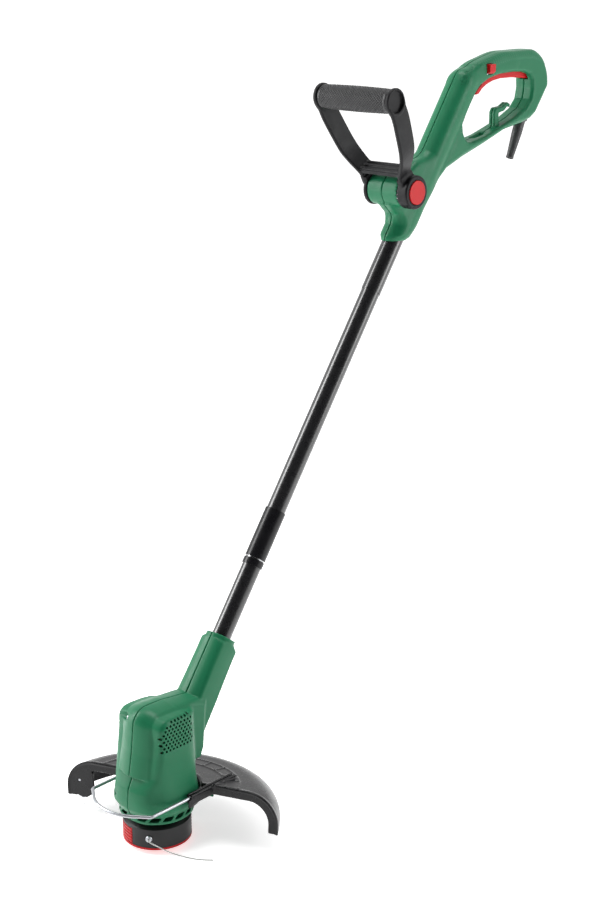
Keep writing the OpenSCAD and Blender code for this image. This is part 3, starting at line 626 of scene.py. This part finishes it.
TRIGGER = [(588.5, 838), (594.5, 838.6), (602, 845), (612, 850), (625, 853.8), (643, 856),
           (668, 855.8), (690, 853.8), (706, 852.5), (717, 855), (718, 866), (708, 869.5),
           (690, 866.5), (672, 868.2), (664, 868.2), (640, 865), (616, 859), (602, 853),
           (589, 842.5)]
TRIGGER_PIN = (712, 866)
HOOK = [(632, 789.5), (642, 792), (642, 811), (654, 813), (662, 819), (666, 817), (667, 821),
        (661, 824), (650, 819), (636, 818), (632, 813)]
HOOK_BLOCK = [(584, 770), (618, 779), (616, 803), (585, 794)]
CABLE_SLOT = [(588, 740), (614, 748), (614, 806), (588, 798)]
COLUMN_GROOVE = [(497, 738), (522, 772), (546, 806)]
# The crease below the dimpled top of the grip, and the spine that the top is round about.
GRIP_CREASE = [(560, 881.5), (578, 875.5), (590, 873), (612, 873.6), (627, 876.5), (648, 879.5),
               (677, 881), (700, 880), (716, 876.5), (728, 870)]
GRIP_SPINE = [(563.5, 855.6), (588, 865.5), (620, 872), (660, 875)]
GRIP_RADIUS = [(564, 17), (600, 15.5), (660, 14.5)]
GRIP_START = 572
GRIP_SWEEP = 0.9  # how far back the dimples start for each mm off the middle
HANDLE_SCREWS = [(515, 765), (557, 772.5), (545, 816), (575, 850), (724, 838), (702, 880)]
HUB = (425, 732)
HUB_R = 20
LOCK = (603, 871)
SLEEVE_AT = (699, 799)
SLEEVE_LEAN = math.radians(24)
HANDLE_FOOT = 668.3
HANDLE_TOP = 891.2
TUBE_END = 772  # along the tube


def handle_body(x, y, z):
    """The closed outer form of the main handle, with its opening."""
    ay = np.abs(y)
    flat = outline_field(x, z, HANDLE)
    groove = 1.1 * np.exp(-(path_distance(x, z, COLUMN_GROOVE) / 6.0) ** 2)
    over = z - along(x, GRIP_CREASE)
    behind = x - GRIP_START - ay * GRIP_SWEEP
    swell = 0.5 * np.clip(over / 1.2 + 0.5, 0, 1) * np.clip(behind / 1.2, 0, 1)
    body = rmax(flat, ay - 15.5 + groove, 9) - swell
    crest = path_distance(x, z, GRIP_SPINE)
    crest = rmax(np.hypot(crest, y) - along(x, GRIP_RADIUS), flat - 0.3, 2)
    body = rmin(body, crest, 5)
    body = rmax(body, -outline_field(x, z, HANDLE_GAP), 5)
    t, back = shaft_coords(x, z)
    tube = np.hypot(back, y)
    neck = rmax(np.hypot(tube, np.maximum(t - 922, 0)) - 17, HANDLE_FOOT - z, 0.5)
    neck = rmax(neck, tube - 14 - (z - HANDLE_FOOT) * 0.5, 0.8)
    body = rmin(body, neck, 7)
    hub = rmax(np.hypot(x - HUB[0], z - HUB[1]) - HUB_R, ay - 24, 0.8)
    return rmax(rmin(body, hub, 2.5), z - HANDLE_TOP, 1)


def handle_field(x, y, z, hand):
    """One shell of the main handle; hand is 1 for the right one and -1 for the left one."""
    body = handle_body(x, y, z)
    ay = np.abs(y)
    t, back = shaft_coords(x, z)
    tube = np.hypot(back, y)
    shell = np.maximum(body, -(body + WALL))
    shell = np.minimum(shell, np.maximum(np.maximum(tube - 14, HANDLE_FOOT - z), t - TUBE_END))
    block = rmax(outline_field(x, z, HOOK_BLOCK), ay - 8, 2)
    shell = np.minimum(shell, np.maximum(block, body + 0.5))
    hook = rmax(outline_field(x, z, HOOK), ay - 5, 1.4)
    shell = rmin(shell, hook, 2)
    for bx, bz in HANDLE_SCREWS:
        off = np.hypot(x - bx, z - bz)
        shell = np.minimum(shell, np.maximum(off - 5.8, body + 0.6))
        if hand > 0:
            shell = rmax(shell, -np.maximum(off - 3.9, 8 - y), 0.5)
    hub_side = np.hypot(x - HUB[0], z - HUB[1])
    shell = np.maximum(shell, -np.maximum(hub_side - 5.1, ay - 60))
    shell = np.maximum(shell, -np.maximum(hub_side - HUB_R + 1, y + 22))
    shell = np.maximum(shell, -np.maximum(tube - 12.85, t - TUBE_END))
    shell = rmax(shell, -rmax(outline_field(x, z, CABLE_SLOT), ay - 4.6, 2), 1.2)
    shell = rmax(shell, -rmax(outline_field(x, z, TRIGGER_SLOT), ay - 6.7, 1), 0.6)
    lock = np.maximum(np.abs(x - LOCK[0]), np.abs(z - LOCK[1])) - 6.5
    shell = rmax(shell, -np.maximum(lock, y - 5), 0.6)
    c, s = math.cos(SLEEVE_LEAN), math.sin(SLEEVE_LEAN)
    dx, dz = x - SLEEVE_AT[0], z - SLEEVE_AT[1]
    out, across = -dx * s - dz * c, dx * c - dz * s
    sleeve = np.maximum(np.hypot(across, y) - 7.1, np.abs(out - 16) - 22)
    shell = rmax(shell, -sleeve, 0.5)
    return rmax(shell, -hand * y + SPLIT, SPLIT_EDGE)


def make_handle(mats):
    step = 1.1
    for hand, name in ((-1, "left"), (1, "right")):
        lo = (403, -27 if hand < 0 else -2.4, 660)
        hi = (756, 2.4 if hand < 0 else 27, 896)
        x, y, z = grid(lo, hi, step)
        obj = field_mesh("handle_shell_" + name, handle_field(x, y, z, hand), lo, step)
        finish_piece(obj, mats["green_plastic"], "frame", "handle_" + name)
        obj.data.materials.append(mats["green_grip"])
        dimple_top(obj.data)


def dimple_top(mesh):
    """Gives the faces above the grip's crease the mesh's second material."""
    at = np.empty(len(mesh.polygons) * 3, np.float32)
    mesh.polygons.foreach_get("center", at)
    at = at.reshape(-1, 3) / MM
    above = at[:, 2] > along(at[:, 0], GRIP_CREASE) + 0.5
    behind = at[:, 0] > GRIP_START + 1 + np.abs(at[:, 1]) * GRIP_SWEEP
    mesh.polygons.foreach_set("material_index", (above & behind).astype(np.int32))


def make_trigger(mats):
    lo, hi, step = (583, -7.6, 828), (724, 7.6, 874), 0.8
    x, y, z = grid(lo, hi, step)
    body = rmax(outline_field(x, z, TRIGGER), np.abs(y) - 5.8, 1.8)
    body = np.maximum(body, 2.1 - np.hypot(x - TRIGGER_PIN[0], z - TRIGGER_PIN[1]))
    obj = field_mesh("trigger_lever", body, lo, step)
    finish_piece(obj, mats["red_plastic"], "trigger", "trigger")


# ------------------------------------------------------------------ front handle

BAIL_LEAN = math.radians(29.8)
BAIL_REACH = 134
ARM_LINE = [(30.5, 14), (30.5, 27), (35, 36), (43, 50), (49, 66), (54.6, 96), (57, 114),
            (57, BAIL_REACH)]
ARM_HALF = [(0, 11), (30, 12), (60, 14), (100, 14.3), (134, 13.5)]
HUB_DISC = 21
HUB_GAP = 24.4  # from the middle to the inner face of each cheek
RIB_PITCH = 7


def bail_matrix():
    c, s = math.cos(-BAIL_LEAN), math.sin(-BAIL_LEAN)
    return [[c, 0, s, HUB[0] * MM], [0, 1, 0, 0], [-s, 0, c, HUB[1] * MM], [0, 0, 0, 1]]


# The grip: half its length, its inner radius, its smallest outer radius and the swell of its
# middle, its rounded ends, and the raised diamonds on it.
GRIP_HALF = 54.1
GRIP_BORE = 11.05
GRIP_R, GRIP_SWELL, GRIP_ROUND = 14.7, 0.9, 1.2
GRIP_COLUMNS, GRIP_PITCH, GRIP_GROOVE = 26, 4.0, 0.7
GRIP_RINGS, GRIP_SIDES = 200, 192


def diamond(u, v):
    """Depth of the grooves between raised diamonds, 0 on top and 1 in a groove."""
    a, b = (u + v) % 1, (u - v) % 1
    return max(0.0, 1 - min(a, 1 - a, b, 1 - b) * 5)


def make_bail(mats):
    lo, hi, step = (-22.4, -61, -22.4), (22.4, 61, 152.4), 0.9
    x, y, z = grid(lo, hi, step)
    ay = np.abs(y)
    centre = [(p.x, p.y) for p in spline([(a, b, 0) for a, b in ARM_LINE], 4)]
    arm = path_distance(ay, z, centre) - 2.6
    arm = rmax(rmax(arm, np.abs(x) - along(z, ARM_HALF), 1.6), 14 - z, 1)
    disc = rmax(np.hypot(x, z - BAIL_REACH) - 16.2, np.abs(ay - 57) - 2.6, 1.4)
    body = rmin(arm, disc, 3)
    body = rmax(body, -rmax(np.hypot(x, z - BAIL_REACH) - 13.4, 56.4 - ay, 0.5), 0.5)
    hub = np.hypot(x, z)
    left = rmax(hub - HUB_DISC, np.abs(y + 32.4) - 8, 1.8)
    right = rmax(hub - HUB_DISC, np.abs(y - 26.9) - 2.5, 1)
    body = rmin(body, np.minimum(left, right), 3)
    for side, width in ((1, 8), (-1, 9)):
        depth = np.abs(side * y - HUB_GAP - width / 2) - width / 2
        block = np.maximum(np.maximum(np.abs(x) - 11.5, np.abs(z - 17) - 7), depth)
        body = rmin(body, block, 2)
    bar = rmax(rmax(np.abs(x) - 11, np.abs(z - 31.5) - 2.5, 1), ay - 33, 1)
    for k in (-1, 0, 1):
        rib = rmax(np.abs(x - RIB_PITCH * k) - 1.5, np.abs(z - 33.5) - 1.8, 0.7)
        bar = rmin(bar, rmax(rib, ay - 33, 0.7), 0.8)
    body = rmin(body, bar, 2)
    body = np.minimum(body, np.maximum(np.hypot(x, z - BAIL_REACH) - 11, ay - 55))
    body = np.maximum(body, 5.1 - hub)
    body = rmax(body, -np.maximum(hub - 15.2, y + 27.4), 0.6)
    body = np.maximum(body, -np.maximum(ay - HUB_GAP, hub - 25))
    obj = field_mesh("bail", body, lo, step, bail_matrix())
    finish_piece(obj, mats["satin_black"], "front_handle", "front_bail")


def grip_radii(y0):
    """The grip's radius at one place along it, and the depth of its grooves there."""
    end = GRIP_HALF - abs(y0)
    rounding = GRIP_ROUND - math.sqrt(max(0, GRIP_ROUND ** 2 - max(0, GRIP_ROUND - end) ** 2))
    base = GRIP_R + GRIP_SWELL * math.cos(math.pi * y0 / (2 * GRIP_HALF)) - rounding
    return base, GRIP_GROOVE * min(1, max(0, (end - 3) / 2))


def ring(bm, y0, radii):
    """A ring of vertices about the bail's cross axis."""
    turns = [2 * math.pi * k / len(radii) for k in range(len(radii))]
    return [bm.verts.new((r * math.cos(a), y0, BAIL_REACH + r * math.sin(a)))
            for r, a in zip(radii, turns)]


def make_grip(mats):
    bm = bmesh.new()
    rows = []
    for i in range(GRIP_RINGS + 1):
        y0 = -GRIP_HALF + 2 * GRIP_HALF * i / GRIP_RINGS
        base, depth = grip_radii(y0)
        rows.append(ring(bm, y0, [
            base - depth * diamond(k * GRIP_COLUMNS / GRIP_SIDES, y0 / GRIP_PITCH)
            for k in range(GRIP_SIDES)]))
    inner = [ring(bm, y0, [GRIP_BORE] * GRIP_SIDES) for y0 in (-GRIP_HALF, GRIP_HALF)]
    loops = [inner[0]] + rows + [inner[1], inner[0]]
    for a, b in zip(loops[:-1], loops[1:]):
        for k in range(GRIP_SIDES):
            n = (k + 1) % GRIP_SIDES
            bm.faces.new((a[k], a[n], b[n], b[k]))
    m = Matrix(bail_matrix())
    for v in bm.verts:
        v.co = m @ (v.co * MM)
    obj = link_mesh("front_grip_sleeve", bm)
    obj.data.set_sharp_from_angle(angle=math.radians(50))
    finish_piece(obj, mats["grip_rubber"], "front_handle", "front_grip")


# ------------------------------------------------------------------ guard

GUARD_SLOPE = math.radians(8)
GUARD_TOP = 74.8
GUARD_R = 142
GUARD_ROLL = 38
GUARD_SKIN = 2.4
GUARD_FOOT = 22
GUARD_SIDES = (-130.5, 131.9)
# The raised pattern on top: two rings, with spokes between them.
RING_RADII = (76, 92)
SPOKE_ANGLE = 15
RAISE = 0.9
# The lug that carries the line cutter, across and up, and the bolt through it.
LUG = [(110, 80), (110, 66), (104, 56), (103, 34), (107, 26.5), (113, 22), (120, 20.8),
       (128, 24), (133, 30), (135, 36), (144, 42), (144, 80)]
LUG_BOLT = (123, 44)
# The rails that the wire guard slides in.
WIRE_HALF = 51
WIRE_Z = 68.4


def raised_pattern(gy, bx):
    """Height of the rings and spokes on the guard's top."""
    reach = np.hypot(bx, gy)
    inner, outer = RING_RADII
    turn = np.degrees(np.arctan2(gy, bx))
    half = SPOKE_ANGLE / 2
    spoke = ((turn + half) % SPOKE_ANGLE - half) * reach * math.pi / 180
    rings = sum(RAISE * np.exp(-((reach - r) / 1.3) ** 2) for r in (outer, inner))
    return rings + RAISE * np.exp(-(spoke / 1.2) ** 2) * ((reach > inner) & (reach < outer))


def guard_rails(x, y, z, bowl):
    """The two rails for the wire guard, and the wedges that join them to the guard's top."""
    off = np.abs(y) - WIRE_HALF
    rail = rmax(np.abs(off) - 4.2, np.abs(z - 66.6) - 6.2, 1.4)
    rail = rmax(rail, np.abs(x - 42) - 37, 1)
    wedge = rmax(np.abs(off - 5.5) - 1.4, 40 - x, 0.5)
    wedge = rmax(wedge, z - 76 + (x - 40) * 0.35, 0.8)
    wedge = np.maximum(np.maximum(wedge, -(bowl + 1.5)), 60 - z)
    return rail, np.maximum(wedge, x - 92)


def guard_field(x, y, z):
    gx, gy = guard_coords(x, y)
    c, s = math.cos(GUARD_SLOPE), math.sin(GUARD_SLOPE)
    bx = gx * c - (z - GUARD_TOP) * s
    bz = gx * s + (z - GUARD_TOP) * c
    bowl = rmax(np.hypot(bx, gy) - GUARD_R, bz, GUARD_ROLL)
    front = np.abs(gx - GUARD_FRONT - 1.5) - 1.5
    skin = np.maximum(bowl - raised_pattern(gy, bx), -(bowl + GUARD_SKIN))
    skin = rmax(rmax(skin, GUARD_FRONT - gx, 0.4), GUARD_FOOT - z, 0.8)
    wall = rmax(rmax(bowl, -(bowl + 12), 0.6), front, 0.6)
    wall = rmax(wall, GUARD_FOOT - z, 0.6)
    lug = rmax(rmax(outline_field(gy, z, LUG), bowl + 1, 1), front, 0.6)
    middle = np.abs(bowl + GUARD_SKIN / 2)
    rim = np.hypot(np.minimum(middle, 9), gx - GUARD_FRONT - 0.4) - 1.6
    rim = np.maximum(np.maximum(rim, GUARD_FOOT + 0.5 - z), middle - 3)
    body = np.minimum(np.minimum(rmin(skin, wall, 1.5), lug), rim)
    r = np.hypot(x, y)
    body = np.maximum(body, -np.maximum(r - 54, np.abs(z - 60) - 31))
    collar = rmax(rmax(np.abs(r - 53.3) - 1.7, np.abs(z - 63) - 6, 0.6), 2 - x, 0.5)
    flange = np.maximum(np.abs(r - 58.8) - 7.2, np.abs(z - 58.5) - 1.5)
    flange = np.maximum(flange, GUARD_FRONT + 4 - gx)
    body = np.minimum(rmin(body, collar, 1.5), flange)
    rail, wedge = guard_rails(x, y, z, bowl)
    body = rmin(rmin(body, rail, 1.5), wedge, 1)
    off = np.abs(y) - WIRE_HALF
    slot = np.minimum(np.hypot(off, z - WIRE_Z) - 2.25, np.maximum(np.abs(off) - 1.2, WIRE_Z - z))
    body = rmax(body, -np.maximum(slot, np.abs(x - 30) - 62), 0.3)
    bolt = np.hypot(gy - LUG_BOLT[0], z - LUG_BOLT[1])
    body = np.maximum(body, -np.maximum(bolt - 1.7, gx - GUARD_FRONT - 5))
    return rmax(rmax(body, GUARD_SIDES[0] - y, 0.5), y - GUARD_SIDES[1], 0.5)


def make_guard(mats):
    lo, hi, step = (-48, -142, 19), (152, 142, 80), 1.0
    obj = field_mesh("guard_shell", guard_field(*grid(lo, hi, step)), lo, step)
    finish_piece(obj, mats["gloss_black_plastic"], "frame", "guard")


# ------------------------------------------------------------------ springs

# name, node, body, start, axis, length, middle radius, wire radius, turns
SPRINGS = [("spool_coil", "spool_spring", "spool_head", (0, 0, 26.8), "z", 6.5, 11.3, 0.6, 3),
           ("trigger_coil", "trigger_spring", "frame", (632, 0, 864.4), "z", 22.5, 2.75, 0.4, 9),
           ("lock_coil", "lock_spring", "frame", (603, -0.6, 871), "y", 11.2, 3.05, 0.4, 6),
           ("hub_coil", "hub_spring", "front_handle", (425, -31.7, 732), "y", 4.1, 10.3, 0.6, 2)]
# The two coils that are squeezed in use get a mesh of their own; the joint that squeezes each and
# the share of its length that stays are listed but not read here.
SQUEEZED = {"spool_coil": ("tap_feed", 0.2), "trigger_coil": ("trigger_squeeze", 0.76)}
COIL_STEPS = 28


def make_springs(mats):
    for name, node, body, start, axis, length, radius, wire, turns in SPRINGS:
        path = []
        for i in range(turns * COIL_STEPS + 1):
            a = 2 * math.pi * i / COIL_STEPS
            rise = wire + (length - 2 * wire) * i / (turns * COIL_STEPS)
            u, v = radius * math.cos(a), radius * math.sin(a)
            point = (u, v, rise) if axis == "z" else (u, rise, v)
            path.append((Vector(start) + Vector(point)) * MM)
        bm = bmesh.new()
        tube_mesh(bm, path, wire * MM, 10)
        obj = link_mesh(name, bm)
        finish_piece(obj, mats["dull_steel"], body, node)
        if name in SQUEEZED:
            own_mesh(obj)


# ------------------------------------------------------------------ cutting line

LINE_ROUTE = [(-32.7, -21.2, 20.4), (-36.5, -23.7, 20.4), (-38.2, -26.5, 20.3),
              (-38.8, -31, 20.2), (-38.6, -38, 20), (-38.3, -46, 19.8), (-37.8, -55, 19.5),
              (-36.5, -64, 19.3), (-34.2, -73, 19), (-31.2, -82, 18.8), (-27.2, -91, 18.5),
              (-21.5, -100, 18.3), (-13.5, -109, 18)]
LINE_R = 0.8


def make_line(mats):
    path = [p * MM for p in spline(LINE_ROUTE, 4)]
    bm = bmesh.new()
    tube_mesh(bm, path, LINE_R * MM, 12)
    obj = link_mesh("cutting_line", bm)
    finish_piece(obj, mats["nylon_line"], "spool_head", "trimmer_line")


# ------------------------------------------------------------------ scene

LIT_POINT = (0.3, 0, 0.45)


def make_light(name, at, size, power):
    light = bpy.data.lights.new(name, "AREA")
    light.shape = "RECTANGLE"
    light.size, light.size_y = size
    light.energy = power
    obj = bpy.data.objects.new(name, light)
    obj.location = at
    obj.rotation_euler = (Vector(LIT_POINT) - Vector(at)).to_track_quat("-Z", "Y").to_euler()
    bpy.context.collection.objects.link(obj)


# name, place, size and power
LIGHTS = [("left", (-1.0, 1.7, 1.3), (0.7, 2.4), 70),
          ("right", (1.7, -1.9, 1.1), (0.9, 2.0), 33),
          ("top", (0.3, 0.3, 4.2), (1.8, 1.8), 95)]
FLOOR_GLOW = 0.66
FLOOR_SIZE = 3000  # metres from the middle to each edge


WORLD_RAMP = [("From Min", -0.35), ("From Max", 0.85), ("To Min", 0.04), ("To Max", 1.1)]
WORLD_LIFT = 0.25  # how much the bright side leans upwards


def make_world():
    """A studio that is bright behind and above the tool and dim on the side it is seen from."""
    world = bpy.data.worlds.new("studio")
    world.use_nodes = True
    tree = world.node_tree
    back = tree.nodes["Background"]
    coords = tree.nodes.new("ShaderNodeTexCoord")
    facing = tree.nodes.new("ShaderNodeVectorMath")
    facing.operation = "DOT_PRODUCT"
    yaw = math.radians(CAMERA_YAW)
    facing.inputs[1].default_value = (math.cos(yaw), math.sin(yaw), WORLD_LIFT)
    tree.links.new(coords.outputs["Generated"], facing.inputs[0])
    ramp = tree.nodes.new("ShaderNodeMapRange")
    ramp.interpolation_type = "SMOOTHSTEP"
    for key, value in WORLD_RAMP:
        ramp.inputs[key].default_value = value
    tree.links.new(facing.outputs["Value"], ramp.inputs["Value"])
    tree.links.new(ramp.outputs["Result"], back.inputs["Strength"])
    back.inputs["Color"].default_value = (1, 1, 1, 1)
    bpy.context.scene.world = world


def make_stage():
    bm = bmesh.new()
    bmesh.ops.create_grid(bm, x_segments=24, y_segments=24, size=FLOOR_SIZE)
    floor = link_mesh("floor", bm)
    m = Nodes("floor")
    m.colour(m.noise(1.5), FLOOR_GREY)
    m.fix("Roughness", 0.7)
    m.fix("Emission Color", (1, 1, 1, 1))
    m.fix("Emission Strength", FLOOR_GLOW)
    paint(floor, m.mat)
    make_world()
    for name, at, size, power in LIGHTS:
        make_light(name, at, size, power)
    bpy.context.scene.view_settings.view_transform = "Standard"


DULL_PARTS = ("guard_wire", "line_eyelet", "blade_screw", "housing_screws", "handle_screws",
              "hub_bolt")


def main():
    make_camera()
    mats = make_materials()
    make_line(mats)
    make_housing(mats)
    make_handle(mats)
    make_trigger(mats)
    make_bail(mats)
    make_grip(mats)
    make_guard(mats)
    make_springs(mats)
    make_stage()
    slots = {s["node"]: s["material_slot"] for s in frame["record"]["subparts"]}
    for name, obj in frame["nodes"].items():
        paint(obj, mats["dull_steel" if name in DULL_PARTS else slots[name]])


main()
